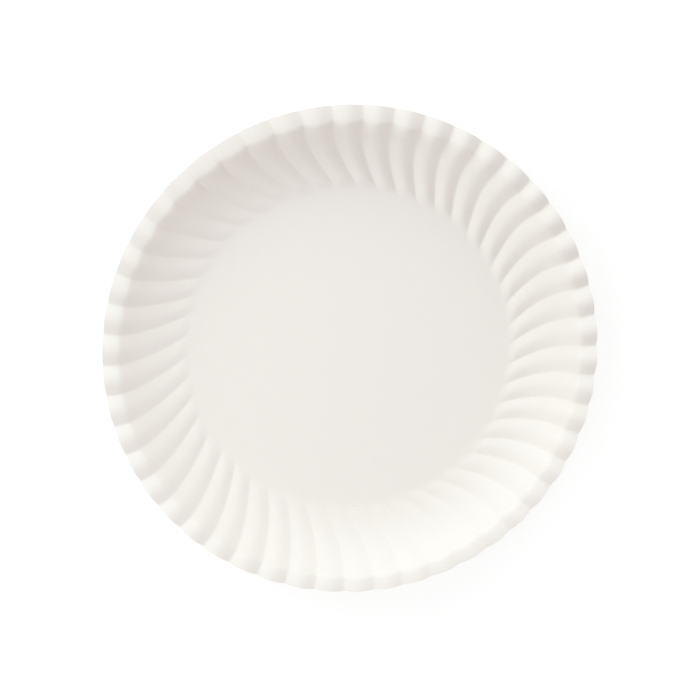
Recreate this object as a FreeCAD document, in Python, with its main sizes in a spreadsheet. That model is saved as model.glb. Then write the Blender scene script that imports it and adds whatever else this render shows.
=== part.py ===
import FreeCAD, Part
import math
import os
import Sketcher

# A round paper plate, pressed from one disc of card. +Z is up and the origin is the centre of the
# floor's underside, where the plate stands. A flat floor runs through a long bend into a steep
# wall, and a tight bend turns the wall into a narrow lip that still rises a little to the cut rim.
# Wall and lip are pressed into a ring of rounded ribs with a sharp fold between each two, and the
# folds sweep sideways as they run down the wall to the floor.

Vector = FreeCAD.Vector
UP = Vector(0, 0, 1)

# Driving sizes, in millimetres, degrees and shares: alias, value, what it measures.
SIZES = [
    ("outer_diameter", 155.0, "across the cut rim"),
    ("lip_width", 3.8, "from the rim in to the centre line of the bend into the lip"),
    ("wall_width", 23.2, "from that centre line in to the flat floor"),
    ("wall_angle", 45.0, "rise of the straight wall above level"),
    ("lip_bend_height", 11.0, "floor's underside to the top of the lip bend's circle"),
    ("lip_bend_radius", 2.4, "bend from the wall to the lip, on the underside"),
    ("lip_angle", 6.0, "rise of the lip above level"),
    ("card_thickness", 0.4, "thickness of the card"),
    ("rib_count", 50, "ribs round the plate"),
    ("first_fold_angle", 1.4, "angle of the first fold at the rim"),
    ("fold_sweep_angle", 8.6, "angle that a fold turns on its way down the wall to the floor"),
    ("wall_rib_depth", 0.95, "height of a rib above its folds on the wall"),
    ("lip_rib_depth", 1.75, "height of a rib above its folds on the lip"),
    ("rib_run_out", 4.6, "length beside the floor over which a rib rises"),
    ("ridge_place_share", 0.2, "edge of a rib's flat ridge, as a share of half its width"),
    ("shoulder_place_share", 0.6, "place of a rib's shoulder, as a share of half its width"),
    ("shoulder_depth_share", 0.6, "height of a rib's shoulder, as a share of its depth"),
]

document = FreeCAD.newDocument("paper_plate")
sizes = document.addObject("Spreadsheet::Sheet", "sizes")
for row, (alias, value, meaning) in enumerate(SIZES, start=1):
    sizes.set(f"A{row}", alias)
    sizes.set(f"B{row}", str(value))
    sizes.setAlias(f"B{row}", alias)
    sizes.set(f"C{row}", meaning)
document.recompute()


def size(alias):
    """A driving size, read from the sheet."""
    return float(sizes.get(alias))


lip_reach = size("outer_diameter") / 2 - size("lip_width")
floor_reach = lip_reach - size("wall_width")
wall_end = lip_reach - size("lip_bend_radius") * math.sin(math.radians(size("wall_angle")))


def floor_bend_radius():
    """Radius of the bend that touches the floor at its edge and the wall at its slope."""
    slope = math.radians(size("wall_angle"))
    rise = size("lip_bend_height") - size("lip_bend_radius") * (1 - math.cos(slope))
    across = wall_end - floor_reach
    return (across * math.sin(slope) - rise * math.cos(slope)) / (1 - math.cos(slope))


def draw_profile():
    """Sketch the underside's profile along a fold, from the axis to the rim, in the XZ plane."""
    slope = math.radians(size("wall_angle"))
    rise = math.radians(size("lip_angle"))
    floor_edge = Vector(floor_reach, 0, 0)
    lip_centre = Vector(lip_reach, size("lip_bend_height") - size("lip_bend_radius"), 0)
    floor_bend = Part.ArcOfCircle(
        Part.Circle(floor_edge + Vector(0, floor_bend_radius(), 0), UP, floor_bend_radius()),
        -math.pi / 2,
        -math.pi / 2 + slope,
    )
    lip_bend = Part.ArcOfCircle(
        Part.Circle(lip_centre, UP, size("lip_bend_radius")),
        math.pi / 2 + rise,
        math.pi / 2 + slope,
    )
    rim_reach = size("outer_diameter") / 2
    rim_rise = (rim_reach - lip_bend.StartPoint.x) * math.tan(rise)
    rim = Vector(rim_reach, lip_bend.StartPoint.y + rim_rise, 0)

    sketch = document.addObject("Sketcher::SketchObject", "profile")
    sketch.Placement = FreeCAD.Placement(Vector(), FreeCAD.Rotation(Vector(1, 0, 0), 90))
    floor_line = sketch.addGeometry(Part.LineSegment(Vector(), floor_edge))
    floor_arc = sketch.addGeometry(floor_bend)
    wall_line = sketch.addGeometry(Part.LineSegment(floor_bend.EndPoint, lip_bend.EndPoint))
    lip_arc = sketch.addGeometry(lip_bend)
    lip_line = sketch.addGeometry(Part.LineSegment(lip_bend.StartPoint, rim))

    start, end, centre = 1, 2, 3
    origin = -1
    sketch.addConstraint(Sketcher.Constraint("Coincident", floor_line, start, origin, start))
    sketch.addConstraint(Sketcher.Constraint("Horizontal", floor_line))
    sketch.addConstraint(Sketcher.Constraint("Tangent", floor_line, end, floor_arc, start))
    sketch.addConstraint(Sketcher.Constraint("Tangent", floor_arc, end, wall_line, start))
    sketch.addConstraint(Sketcher.Constraint("Tangent", wall_line, end, lip_arc, end))
    sketch.addConstraint(Sketcher.Constraint("Tangent", lip_arc, start, lip_line, start))

    def bind(name, expression, *constraint):
        """Add a named dimension and tie it to the sheet."""
        index = sketch.addConstraint(Sketcher.Constraint(*constraint))
        sketch.renameConstraint(index, name)
        sketch.setExpression(f"Constraints.{name}", expression)

    lip_expression = "sizes.outer_diameter / 2 - sizes.lip_width"
    level_expression = "sizes.lip_bend_height - sizes.lip_bend_radius"
    from_origin = (origin, start)
    bind(
        "floor_reach",
        f"{lip_expression} - sizes.wall_width",
        "DistanceX",
        *from_origin,
        floor_line,
        end,
        floor_edge.x,
    )
    bind("lip_reach", lip_expression, "DistanceX", *from_origin, lip_arc, centre, lip_centre.x)
    bind("lip_level", level_expression, "DistanceY", *from_origin, lip_arc, centre, lip_centre.y)
    bind("rim_reach", "sizes.outer_diameter / 2", "DistanceX", *from_origin, lip_line, end, rim.x)
    bind("lip_bend", "sizes.lip_bend_radius", "Radius", lip_arc, size("lip_bend_radius"))
    bind("wall_rise", "sizes.wall_angle * 1 deg", "Angle", wall_line, slope)
    bind("lip_rise", "sizes.lip_angle * 1 deg", "Angle", lip_line, rise)
    document.recompute()
    return sketch, floor_arc, wall_line, lip_arc, lip_line


profile, FLOOR_BEND, WALL, LIP_BEND, LIP = draw_profile()

run_out_share = size("rib_run_out") / (floor_bend_radius() * math.radians(size("wall_angle")))
wall_depth = size("wall_rib_depth")
lip_depth = size("lip_rib_depth")

# Stations along the profile from the floor's edge to the rim: curve, share of its length counted
# outwards, and the ribs' depth there. The card is flat from one station to the next.
STATIONS = [
    (FLOOR_BEND, 0, 0),
    (FLOOR_BEND, run_out_share, wall_depth),
    (FLOOR_BEND, (run_out_share + 1) / 2, wall_depth),
    (FLOOR_BEND, 1, wall_depth),
    (WALL, 1, wall_depth),
    (LIP_BEND, 1 / 2, (wall_depth + lip_depth) / 2),
    (LIP_BEND, 1, lip_depth),
    (LIP, 1, lip_depth),
]

# Lines that run along a rib: sideways share of half its width, height share of its depth.
RIB_LINES = [
    (-1, 0),
    (-size("shoulder_place_share"), size("shoulder_depth_share")),
    (-size("ridge_place_share"), 1),
    (size("ridge_place_share"), 1),
    (size("shoulder_place_share"), size("shoulder_depth_share")),
    (1, 0),
]


def place_on(index, share):
    """Point and upward normal at a share of a profile curve, counted outwards from the axis."""
    curve = profile.Geometry[index]
    inner, outer = curve.FirstParameter, curve.LastParameter
    if curve.value(inner).x > curve.value(outer).x:
        inner, outer = outer, inner
    parameter = inner + (outer - inner) * share
    tangent = curve.tangent(parameter)[0]
    normal = Vector(-tangent.y, tangent.x, 0)
    return curve.value(parameter), normal if normal.y > 0 else -normal


def sweep_at(reach):
    """Angle that a fold has turned at a radius: the square of its way down from the wall's end."""
    way_in = max((wall_end - reach) / (wall_end - floor_reach), 0)
    return size("fold_sweep_angle") * way_in**2


def rib_line(sideways, height):
    """Corners of one line along the first rib.

    They run out over the inside face, round the cut rim and back in along the underside.
    """
    half_pitch = 180 / size("rib_count")
    inside, underside = [], []
    for index, share, depth in STATIONS:
        point, normal = place_on(index, share)
        turn = size("first_fold_angle") + half_pitch * (1 + sideways) - sweep_at(point.x)
        angle = math.radians(turn)
        for corners, lift in ((inside, size("card_thickness")), (underside, 0)):
            raised = point + normal * (lift + depth * height)
            corners.append(
                Vector(raised.x * math.cos(angle), raised.x * math.sin(angle), raised.y)
            )
    return inside + underside[::-1]


def rib_shell(lines):
    """The card of one rib: flat strips between its neighbouring lines, on both faces and the rim."""
    strips = []
    for left, right in zip(lines, lines[1:]):
        for a, b, c, d in zip(left, left[1:], right, right[1:]):
            strips.append(Part.makeRuledSurface(Part.makeLine(a, b), Part.makeLine(c, d)))
    shell = Part.makeShell(strips)
    shell.sewShape()
    return shell


def plate_shape():
    """The whole card as one closed solid: one rib turned round the axis, and the floor's two faces."""
    lines = [rib_line(sideways, height) for sideways, height in RIB_LINES]
    rib = rib_shell(lines)
    turns = [FreeCAD.Rotation(UP, 360 / size("rib_count") * k) for k in range(int(size("rib_count")))]
    pieces = []
    for turn in turns:
        copy = rib.copy()
        copy.Placement = FreeCAD.Placement(Vector(), turn)
        pieces.append(copy)
    for end in (0, -1):
        edge = [turn.multVec(line[end]) for turn in turns for line in lines[:-1]]
        pieces.append(Part.Face(Part.makePolygon(edge + edge[:1])))
    card = Part.makeCompound(pieces)
    card.sewShape()
    return Part.makeSolid(card.Shells[0])


plate = document.addObject("Part::Feature", "plate")
plate.Label = "plate"
plate.Shape = plate_shape()
plate.Placement = FreeCAD.Placement()
document.recompute()

for item in document.Objects:
    if "Invalid" in item.State or "Error" in item.State:
        raise RuntimeError(f"{item.Label} did not compute")
if plate.Shape.isNull() or not plate.Shape.isValid():
    raise RuntimeError("plate has no valid shape")

os.makedirs("parts", exist_ok=True)
plate.Shape.exportStep(f"parts/{plate.Label}.step")
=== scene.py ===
import math

import bpy
import numpy as np
from mathutils import Matrix, Vector


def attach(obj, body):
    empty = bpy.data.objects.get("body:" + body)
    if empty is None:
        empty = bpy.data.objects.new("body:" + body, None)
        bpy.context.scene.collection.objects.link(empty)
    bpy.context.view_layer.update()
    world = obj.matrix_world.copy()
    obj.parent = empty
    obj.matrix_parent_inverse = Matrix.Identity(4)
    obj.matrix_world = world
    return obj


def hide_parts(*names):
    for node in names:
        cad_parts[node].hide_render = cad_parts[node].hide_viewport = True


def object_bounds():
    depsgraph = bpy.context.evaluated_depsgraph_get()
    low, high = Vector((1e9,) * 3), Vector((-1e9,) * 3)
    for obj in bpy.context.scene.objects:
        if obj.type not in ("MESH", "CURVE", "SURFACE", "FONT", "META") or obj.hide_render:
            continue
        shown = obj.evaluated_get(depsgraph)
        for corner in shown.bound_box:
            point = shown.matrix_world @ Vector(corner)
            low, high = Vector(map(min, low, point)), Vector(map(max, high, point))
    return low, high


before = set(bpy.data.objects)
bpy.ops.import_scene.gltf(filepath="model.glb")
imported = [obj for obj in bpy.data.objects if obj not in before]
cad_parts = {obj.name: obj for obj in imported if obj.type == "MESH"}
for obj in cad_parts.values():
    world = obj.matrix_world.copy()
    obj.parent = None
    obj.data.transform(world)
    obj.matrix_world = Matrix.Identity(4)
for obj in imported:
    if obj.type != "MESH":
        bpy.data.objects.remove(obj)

# A pressed paper plate, seen almost from above on a white table. Lengths are in metres, angles in
# degrees, +Z is up and the origin is under the middle of the plate's floor.

MM = 0.001
cad_box = [list(corner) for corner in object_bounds()]

# The plate's own sizes. Its radius is the smaller reach of the box, so it stays a hair inside it.
RIM_RADIUS = min(cad_box[1][0], cad_box[1][1])
LIP_WIDTH = 3.4 * MM  # from the rim in to the centre line of the bend into the lip
WALL_WIDTH = 23.6 * MM  # from that centre line in to the flat floor
WALL_ANGLE = 45.0  # rise of the straight wall above level
LIP_BEND_HEIGHT = 11.0 * MM  # floor's underside to the top of the lip bend's circle
LIP_BEND_RADIUS = 2.4 * MM
LIP_ANGLE = 13.0  # rise of the lip where it leaves the bend
RIM_ANGLE = 0.0  # rise of the lip at the rim
CARD = 0.4 * MM  # thickness of the card

LIP_REACH = RIM_RADIUS - LIP_WIDTH
FLOOR_REACH = LIP_REACH - WALL_WIDTH
WALL_END = LIP_REACH - LIP_BEND_RADIUS * math.sin(math.radians(WALL_ANGLE))

# The ribs, with a fold between each two.
RIBS = 50
FIRST_FOLD = 1.4  # azimuth of the first fold at the rim
FOLD_SWEEP = 8.6  # angle that a fold turns on its way down the wall to the floor
FOLD_ROUNDING = 0.06  # as a share of half a rib's width
WALL_RIB_DEPTH = 0.95 * MM
LIP_RIB_DEPTH = 1.75 * MM
BEND_SHARE = 0.75  # share of the way from the wall's depth to the lip's, where the bend ends
RIB_RUN_OUT = 4.6 * MM  # length beside the floor over which a rib rises
RIB_ROUNDNESS = 1.6  # the more, the narrower a rib's ridge
RIM_SCALLOP = 0.1 * MM  # how far the rim is drawn in at a fold
LIP_SCALLOP = 0.75 * MM  # how far the lip's inner edge is pushed in at a ridge

# How unevenly card takes the press: azimuth, and the shares of the full rib depth that are reached
# there on the wall and on the lip.
PRESSED_DEPTHS = [
    (0, 0.85, 0.95),
    (45, 1.15, 1.0),
    (90, 1.3, 0.92),
    (135, 0.65, 0.75),
    (180, 0.58, 0.65),
    (225, 0.74, 0.6),
    (270, 0.34, 0.57),
    (315, 0.4, 0.72),
]

# Each rib loses up to this share of its depth by chance. Its start beside the floor and the angles
# of a fold's two ends differ from even ones by these at most.
CHANCE_LOSS = 0.08
START_SHIFT = 1.2 * MM
FOLD_SHIFT = 0.16
FOOT_SHIFT = 0.35
PRESS_SEED = 7

# How far the pressed form lies off the middle of the cut rim, and by how much the lip rises more
# on that side and less on the other, both towards one azimuth; and how oval the cut rim is. Across
# from that azimuth the lip's inner edge is scalloped most.
PRESS_OFFSET = 0.3 * MM
LIP_TILT = 5.0
PRESS_AZIMUTH = 278.0
RIM_OVAL = 0.35 * MM

# How finely the surface is divided: columns in a rib and their crowding towards its folds, then
# steps along the profile in the ribs' run-out, the rest of the foot bend, the wall, the lip bend
# and the lip, and the floor's rings as shares of its size. Edges sharper than the last angle stay
# sharp.
RIB_STEPS = 22
FOLD_CROWDING = 0.22
INSIDE_STEPS = (12, 8, 6, 9, 7)
UNDERSIDE_STEPS = (9, 6, 4, 6, 5)
FLOOR_RINGS = (0.3, 0.6, 0.85, 0.97)
SHARP_ANGLE = 60

# A short scuff on the upper side, where the floor begins to bend: its middle and half extents.
SCUFF_PLACE = (1.5 * MM, -52.2 * MM, 0.45 * MM)
SCUFF_REACH = (1.8 * MM, 0.35 * MM, 0.35 * MM)

# The table, just under the plate. The camera sees it as a glow with a share of true shading, so
# that it is white and still shows the plate's shadow.
TABLE_WIDTH = 2.0
TABLE_LEVEL = -0.02 * MM
TABLE_COLOUR = "#DEDEDE"
TABLE_GLOW = 0.77
TABLE_SHADE = 0.28

# The camera over the plate, and the sky's white.
CAMERA_DISTANCE = 450 * MM
CAMERA_TILT = 11.52
CAMERA_AZIMUTH = 118.0
SENSOR = 36.0
FOCAL_SHARE = 1405 / 700
SHIFT_UP = -1.2 / 700
SKY_LEVEL = 0.704
SKY_COLOUR = "#FFFBFA"
LAMP_COLOUR = "#EEFFFD"

# The lamps: name, azimuth, elevation, distance, width of the soft disc, and power in watts.
LAMPS = [
    ("right window", 66.0, 20.0, 1.0, 0.5, 2.91),
    ("left window", 150.0, 20.0, 1.0, 0.5, 2.05),
    ("near lamp", 130.0, 30.0, 0.4, 0.3, 0.26),
    ("fill", 216.0, 44.0, 0.4, 0.3, 0.27),
]

# A mix node's sockets for two colours and for their mixture.
FIRST_COLOUR, SECOND_COLOUR, MIXTURE = 6, 7, 2


def foot_bend_radius():
    """Radius of the bend that touches the floor at its edge and the straight wall at its slope."""
    slope = math.radians(WALL_ANGLE)
    across = WALL_END - FLOOR_REACH
    rise = LIP_BEND_HEIGHT - LIP_BEND_RADIUS * (1 - math.cos(slope))
    return (across * math.sin(slope) - rise * math.cos(slope)) / (1 - math.cos(slope))


def profile(run_out_steps, foot_steps, wall_steps, brow_steps, lip_steps):
    """The underside's profile along a fold, from the floor's edge to the rim.

    An arc turns from level to the wall's slope and a straight wall follows. A small arc turns from
    the wall's slope to the lip's, and the lip's slope falls evenly to the rim's. The height is the
    running sum of the slope's tangent. Each row of the result is radius, height, slope in radians,
    distance along the card, share of the way to the lip's full rib depth, and the reach over which
    the lip leans.
    """
    wall, lip, rim = (math.radians(angle) for angle in (WALL_ANGLE, LIP_ANGLE, RIM_ANGLE))
    bend = foot_bend_radius()
    run_out = (RIB_RUN_OUT + START_SHIFT) / bend
    foot = np.concatenate([
        np.linspace(0, run_out, run_out_steps, endpoint=False),
        np.linspace(run_out, wall, foot_steps, endpoint=False),
    ])
    foot_end = FLOOR_REACH + bend * math.sin(wall)
    brow = np.linspace(wall, lip, brow_steps, endpoint=False)
    brow_end = LIP_REACH - LIP_BEND_RADIUS * math.sin(lip)
    radius = np.concatenate([
        FLOOR_REACH + bend * np.sin(foot),
        np.linspace(foot_end, WALL_END, wall_steps, endpoint=False),
        LIP_REACH - LIP_BEND_RADIUS * np.sin(brow),
        np.linspace(brow_end, RIM_RADIUS, lip_steps + 1),
    ])
    slope = np.concatenate([
        foot,
        np.full(wall_steps, wall),
        brow,
        np.linspace(lip, rim, lip_steps + 1),
    ])
    into_lip = np.interp(slope, [rim, lip, wall], [1, BEND_SHARE, 0]) * (radius >= WALL_END)
    across = np.diff(radius)
    middle = (slope[1:] + slope[:-1]) / 2
    height = np.concatenate([[0], np.cumsum(across * np.tan(middle))])
    distance = np.concatenate([[0], np.cumsum(across / np.cos(middle))])
    lean_reach = np.clip(radius - (WALL_END + LIP_REACH) / 2, 0, None)
    return np.column_stack([radius, height, slope, distance, into_lip, lean_reach])


def eased(share):
    """Smooth step: 3 times the square less twice the cube of a share kept from 0 to 1."""
    share = np.clip(share, 0, 1)
    return share * share * (3 - 2 * share)


def rib_columns():
    """Columns of the grid round the plate: angle at the rim, angle at the floor, place, rib.

    The place runs from -1 on one fold to 1 on the next. Its even steps are pulled towards the folds
    by adding a sine, so that a fold's small rounding has its own columns.
    """
    even = -1 + 2 * np.arange(RIB_STEPS) / RIB_STEPS
    sideways = even + FOLD_CROWDING * np.sin(np.pi * even)
    share = (sideways[None, :] + 1) / 2
    random = np.random.default_rng(PRESS_SEED)
    even_folds = FIRST_FOLD + 360 / RIBS * np.arange(RIBS + 1)
    angles = []
    for shift in (FOLD_SHIFT, FOOT_SHIFT):
        shifts = random.uniform(-shift, shift, RIBS)
        folds = even_folds + np.append(shifts, shifts[0])
        angles.append((folds[:-1, None] + np.diff(folds)[:, None] * share).ravel())
    rim_angles, floor_angles = angles
    return rim_angles, floor_angles, np.tile(sideways, RIBS), np.repeat(np.arange(RIBS), RIB_STEPS)


def pressed_ribs(rim_angles, rib):
    """Each column's rib depth on the wall and on the lip, and how late its rib starts.

    A depth is the full one times the share pressed there, read off straight lines between the
    azimuths of the pressed depths, less the rib's own chance loss.
    """
    random = np.random.default_rng(PRESS_SEED + 1)
    kept = 1 - CHANCE_LOSS * random.random(RIBS)[rib]
    start = START_SHIFT * random.random(RIBS)[rib]
    azimuths, wall_shares, lip_shares = zip(*PRESSED_DEPTHS)
    wall_depth = WALL_RIB_DEPTH * np.interp(rim_angles, azimuths, wall_shares, period=360) * kept
    lip_depth = LIP_RIB_DEPTH * np.interp(rim_angles, azimuths, lip_shares, period=360) * kept
    return wall_depth, lip_depth, start


def rib_section(v):
    """Height of a rib as a share of its depth: 1 - a v^2 + (a - 1) v^3, with a the roundness."""
    return 1 - RIB_ROUNDNESS * v**2 + (RIB_ROUNDNESS - 1) * v**3


def off_fold(sideways):
    """How far a place is from its rib's ridge, with the fold rounded.

    A place d short of a fold counts as the root of d^2 + r^2, less r (1 - d), short of it, with r
    the fold's rounding.
    """
    short = 1 - np.abs(sideways)
    return 1 - np.sqrt(short**2 + FOLD_ROUNDING**2) + FOLD_ROUNDING * (1 - short)


def ribbed_rows(line, columns, lift):
    """Points of the ribbed ring: one row for each profile station, one column for each angle.

    Each point leaves the profile square to it by lift plus the rib's height there. That height is
    the rib's depth times its section at v, the place off the ridge. The depth eases in from nothing
    beside the floor, is even up the wall, and grows to the lip's as the slope falls. A row turns
    back by the fold's sweep times the square of its way in from the top of the wall. The lip leans
    by the tilt times the cosine from the press's azimuth. The rim is drawn in by the scallop times
    v^4 and by the oval times the azimuth's sine squared, fading to nothing at the lip's inner edge.
    That edge is pushed in by its own scallop times the rib's section, most across from the press's
    azimuth, fading to nothing down the wall and at the rim. The form is shifted by the press's
    offset, fading to nothing at the rim.
    """
    rim_angles, floor_angles, sideways, rib = columns
    wall_depth, lip_depth, start = pressed_ribs(rim_angles, rib)
    radius, height, slope, distance, into_lip, lean_reach = line.T[:, :, None]

    v = off_fold(sideways)
    section = rib_section(v)
    depth = wall_depth * eased((distance - start) / RIB_RUN_OUT)
    depth = depth + (lip_depth - wall_depth) * into_lip
    out = lift + depth * section
    towards_press = np.cos(np.radians(rim_angles - PRESS_AZIMUTH))
    tilt = math.radians(LIP_TILT) * towards_press
    level = height + np.tan(tilt) * lean_reach + out * np.cos(slope)

    way_out = np.clip((radius - LIP_REACH) / LIP_WIDTH, 0, 1)
    drawn_in = RIM_SCALLOP * v**4 + RIM_OVAL * np.sin(np.radians(rim_angles)) ** 2
    edges = [WALL_END - RIB_RUN_OUT, WALL_END, LIP_REACH, RIM_RADIUS]
    pushed_in = LIP_SCALLOP * section * (1 - towards_press) / 2
    pushed_in = pushed_in * eased(np.interp(radius, edges, [0, 1, 1, 0]))
    reach = radius - out * np.sin(slope) - drawn_in * way_out - pushed_in

    way_in = np.clip((WALL_END - radius) / (WALL_END - FLOOR_REACH), 0, 1)
    angle = rim_angles + (floor_angles - rim_angles) * way_in - FOLD_SWEEP * way_in**2
    turned = np.radians(angle)
    press = math.radians(PRESS_AZIMUTH)
    offset = PRESS_OFFSET * (1 - way_out)
    across = reach * np.cos(turned) + offset * math.cos(press)
    along = reach * np.sin(turned) + offset * math.sin(press)
    return np.stack([across, along, level], -1)


def floor_rows(ring, shares):
    """Rings of a flat floor: the given ring drawn in to shares of its size, at its own height."""
    rows = np.repeat(ring[None], len(shares), 0)
    rows[:, :, :2] *= np.array(shares)[:, None, None]
    return rows


def grid_faces(rows, around):
    """Faces of a closed grid: quads from row to row, and a fan from a tip to each end row.

    The points are numbered row by row, then the first row's tip and the last row's.
    """
    here = np.arange(around)
    after = np.roll(here, -1)
    first = around * np.arange(rows - 1)[:, None]
    quads = np.stack([first + here, first + around + here, first + around + after, first + after], -1)
    last = around * (rows - 1)
    first_tip, last_tip = around * rows, around * rows + 1
    steps = list(zip(here.tolist(), after.tolist()))
    fans = [(first_tip, a, b) for a, b in steps]
    fans += [(last_tip, last + b, last + a) for a, b in steps]
    return quads.reshape(-1, 4).tolist() + fans


def plate_mesh():
    """The plate's closed surface, as one grid of rows round the axis.

    The rows run from the middle of the floor's upper side out over the inside face, round the cut
    rim and back in along the underside to the middle of the floor. A fan closes each end.
    """
    columns = rib_columns()
    inside = ribbed_rows(profile(*INSIDE_STEPS), columns, CARD)
    underside = ribbed_rows(profile(*UNDERSIDE_STEPS), columns, 0.0)[::-1]
    rim = (inside[-1] + underside[0]) / 2
    rows = np.concatenate([
        floor_rows(inside[0], FLOOR_RINGS),
        inside,
        rim[None],
        underside,
        floor_rows(underside[-1], FLOOR_RINGS[::-1]),
    ])
    points = np.concatenate([rows.reshape(-1, 3), [[0, 0, CARD], [0, 0, 0]]])
    mesh = bpy.data.meshes.new("plate")
    mesh.from_pydata(points.tolist(), [], grid_faces(*rows.shape[:2]))
    mesh.update()
    mesh.shade_smooth()
    mesh.set_sharp_from_angle(angle=math.radians(SHARP_ANGLE))
    return mesh


def linear(hex_colour):
    """Linear red, green, blue and alpha of an sRGB hex colour."""
    channels = [int(hex_colour[k:k + 2], 16) / 255 for k in (1, 3, 5)]
    return (*[c / 12.92 if c <= 0.04045 else ((c + 0.055) / 1.055) ** 2.4 for c in channels], 1.0)


def new_material(name):
    """An empty material with its node tree and its output node."""
    material = bpy.data.materials.new(name)
    material.use_nodes = True
    tree = material.node_tree
    tree.nodes.clear()
    return material, tree, tree.nodes.new("ShaderNodeOutputMaterial")


def add(tree, kind, settings=None, inputs=None, links=None):
    """Add a node, set its properties and input values, and link other nodes' outputs to it."""
    node = tree.nodes.new(kind)
    for name, value in (settings or {}).items():
        setattr(node, name, value)
    for name, value in (inputs or {}).items():
        node.inputs[name].default_value = value
    for name, output in (links or {}).items():
        tree.links.new(output, node.inputs[name])
    return node


def clouded_white(tree, place):
    """The card's white, with clouds of pulp some 6 mm across that shift it a little."""
    clouds = add(
        tree,
        "ShaderNodeTexNoise",
        inputs={"Scale": 1 / (6 * MM), "Detail": 3.0, "Roughness": 0.6},
        links={"Vector": place},
    )
    white = add(
        tree,
        "ShaderNodeMix",
        settings={"data_type": "RGBA"},
        inputs={FIRST_COLOUR: linear("#EEE8E4"), SECOND_COLOUR: linear("#F0EAE6")},
        links={0: clouds.outputs["Fac"]},
    )
    return white.outputs[MIXTURE]


def scuffed(tree, place, white):
    """The white with the scuff on it, a little greyer than the card, fading out to its ends."""
    from_scuff = add(
        tree,
        "ShaderNodeVectorMath",
        settings={"operation": "SUBTRACT"},
        inputs={1: SCUFF_PLACE},
        links={0: place},
    )
    in_reaches = add(
        tree,
        "ShaderNodeVectorMath",
        settings={"operation": "DIVIDE"},
        inputs={1: SCUFF_REACH},
        links={0: from_scuff.outputs["Vector"]},
    )
    far = add(
        tree,
        "ShaderNodeVectorMath",
        settings={"operation": "LENGTH"},
        links={0: in_reaches.outputs["Vector"]},
    )
    rubbed = add(
        tree,
        "ShaderNodeMapRange",
        inputs={"From Min": 1.0, "From Max": 0.3, "To Min": 0.0, "To Max": 0.1},
        links={"Value": far.outputs["Value"]},
    )
    marked = add(
        tree,
        "ShaderNodeMix",
        settings={"data_type": "RGBA"},
        inputs={SECOND_COLOUR: linear("#8F8A86")},
        links={0: rubbed.outputs["Result"], FIRST_COLOUR: white},
    )
    return marked.outputs[MIXTURE]


def fibre_tooth(tree, place):
    """The fibres' tooth, as a bump: fibres some 0.5 mm apart, which roughen the face."""
    fibres = add(
        tree,
        "ShaderNodeTexNoise",
        inputs={"Scale": 1 / (0.5 * MM), "Detail": 4.0, "Roughness": 0.65},
        links={"Vector": place},
    )
    tooth = add(
        tree,
        "ShaderNodeBump",
        inputs={"Strength": 0.35, "Distance": 0.02 * MM},
        links={"Height": fibres.outputs["Fac"]},
    )
    return tooth.outputs["Normal"]


def white_card():
    """Uncoated white paperboard: matt, with a faint cloudiness and a tooth of fibres."""
    material, tree, output = new_material("White paperboard")
    place = add(tree, "ShaderNodeTexCoord").outputs["Object"]
    colour = scuffed(tree, place, clouded_white(tree, place))
    shader = add(
        tree,
        "ShaderNodeBsdfPrincipled",
        inputs={"Roughness": 0.88, "IOR": 1.45, "Specular IOR Level": 0.3},
        links={"Base Color": colour, "Normal": fibre_tooth(tree, place)},
    )
    tree.links.new(shader.outputs[0], output.inputs["Surface"])
    return material


def white_table():
    """White table: plain and matt for the light that it passes on, and for the camera a white that
    still takes the plate's faint shadow."""
    material, tree, output = new_material("White table")
    path = add(tree, "ShaderNodeLightPath")
    seen = path.outputs["Is Camera Ray"]
    for ray in ("Is Glossy Ray", "Is Transmission Ray"):
        either = add(
            tree,
            "ShaderNodeMath",
            settings={"operation": "MAXIMUM"},
            links={0: seen, 1: path.outputs[ray]},
        )
        seen = either.outputs[0]
    matt = add(tree, "ShaderNodeBsdfDiffuse", inputs={"Color": linear(TABLE_COLOUR)})
    shaded = add(tree, "ShaderNodeBsdfDiffuse", inputs={"Color": (*[TABLE_SHADE] * 3, 1)})
    glow = add(tree, "ShaderNodeEmission", inputs={"Strength": TABLE_GLOW})
    white = add(tree, "ShaderNodeAddShader", links={0: shaded.outputs[0], 1: glow.outputs[0]})
    shader = add(
        tree,
        "ShaderNodeMixShader",
        links={0: seen, 1: matt.outputs[0], 2: white.outputs[0]},
    )
    tree.links.new(shader.outputs[0], output.inputs["Surface"])
    return material


def add_object(name, data):
    """Put a new object with the given data into the scene, at the origin."""
    item = bpy.data.objects.new(name, data)
    bpy.context.scene.collection.objects.link(item)
    return item


def build_plate():
    """The plate in white paperboard, in place of the frame's plain plate."""
    mesh = plate_mesh()
    mesh.materials.append(white_card())
    plate = add_object("paper_plate", mesh)
    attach(plate, "root")
    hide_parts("plate")


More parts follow.
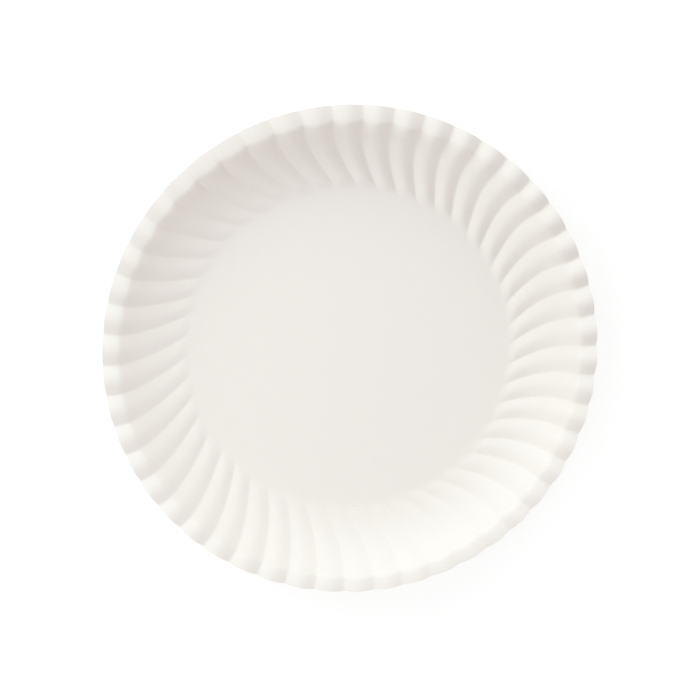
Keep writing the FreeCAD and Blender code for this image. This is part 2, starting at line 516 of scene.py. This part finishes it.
def build_table():
    """A flat square table top."""
    half, level = TABLE_WIDTH / 2, TABLE_LEVEL
    corners = [(-half, -half, level), (half, -half, level), (half, half, level), (-half, half, level)]
    mesh = bpy.data.meshes.new("table")
    mesh.from_pydata(corners, [], [(0, 1, 2, 3)])
    mesh.materials.append(white_table())
    add_object("table", mesh)


def direction(azimuth, elevation):
    """Unit vector towards an azimuth and an elevation in degrees."""
    around, up = math.radians(azimuth), math.radians(elevation)
    return Vector((math.cos(up) * math.cos(around), math.cos(up) * math.sin(around), math.sin(up)))


def add_lamp(name, azimuth, elevation, distance, width, power):
    """A soft round lamp that faces the middle of the plate."""
    towards = direction(azimuth, elevation)
    lamp = bpy.data.lights.new(name, "AREA")
    lamp.shape = "DISK"
    lamp.size = width
    lamp.energy = power
    lamp.color = linear(LAMP_COLOUR)[:3]
    item = add_object(name, lamp)
    item.location = towards * distance
    item.rotation_euler = towards.to_track_quat("Z", "Y").to_euler()


def light_scene():
    """Two broad, low, soft lamps at the upper right and left, two weak near ones, and a white sky."""
    for lamp in LAMPS:
        add_lamp(*lamp)
    world = bpy.data.worlds.new("sky")
    world.use_nodes = True
    sky = world.node_tree.nodes["Background"]
    sky.inputs["Color"].default_value = linear(SKY_COLOUR)
    sky.inputs["Strength"].default_value = SKY_LEVEL
    bpy.context.scene.world = world
    bpy.context.scene.view_settings.view_transform = "Standard"


def aim_camera():
    """The camera above the plate, tilted a little to the upper left, with the plate's top up."""
    back = direction(CAMERA_AZIMUTH, 90 - CAMERA_TILT)
    right = Vector((0, 1, 0)).cross(back).normalized()
    up = back.cross(right)
    camera = bpy.data.cameras.new("camera")
    camera.sensor_width = SENSOR
    camera.lens = SENSOR * FOCAL_SHARE
    camera.shift_y = SHIFT_UP
    item = add_object("camera", camera)
    spot = Vector((0, 0, CARD)) + back * CAMERA_DISTANCE
    item.matrix_world = Matrix.Translation(spot) @ Matrix((right, up, back)).transposed().to_4x4()
    bpy.context.scene.camera = item


build_plate()
build_table()
light_scene()
aim_camera()
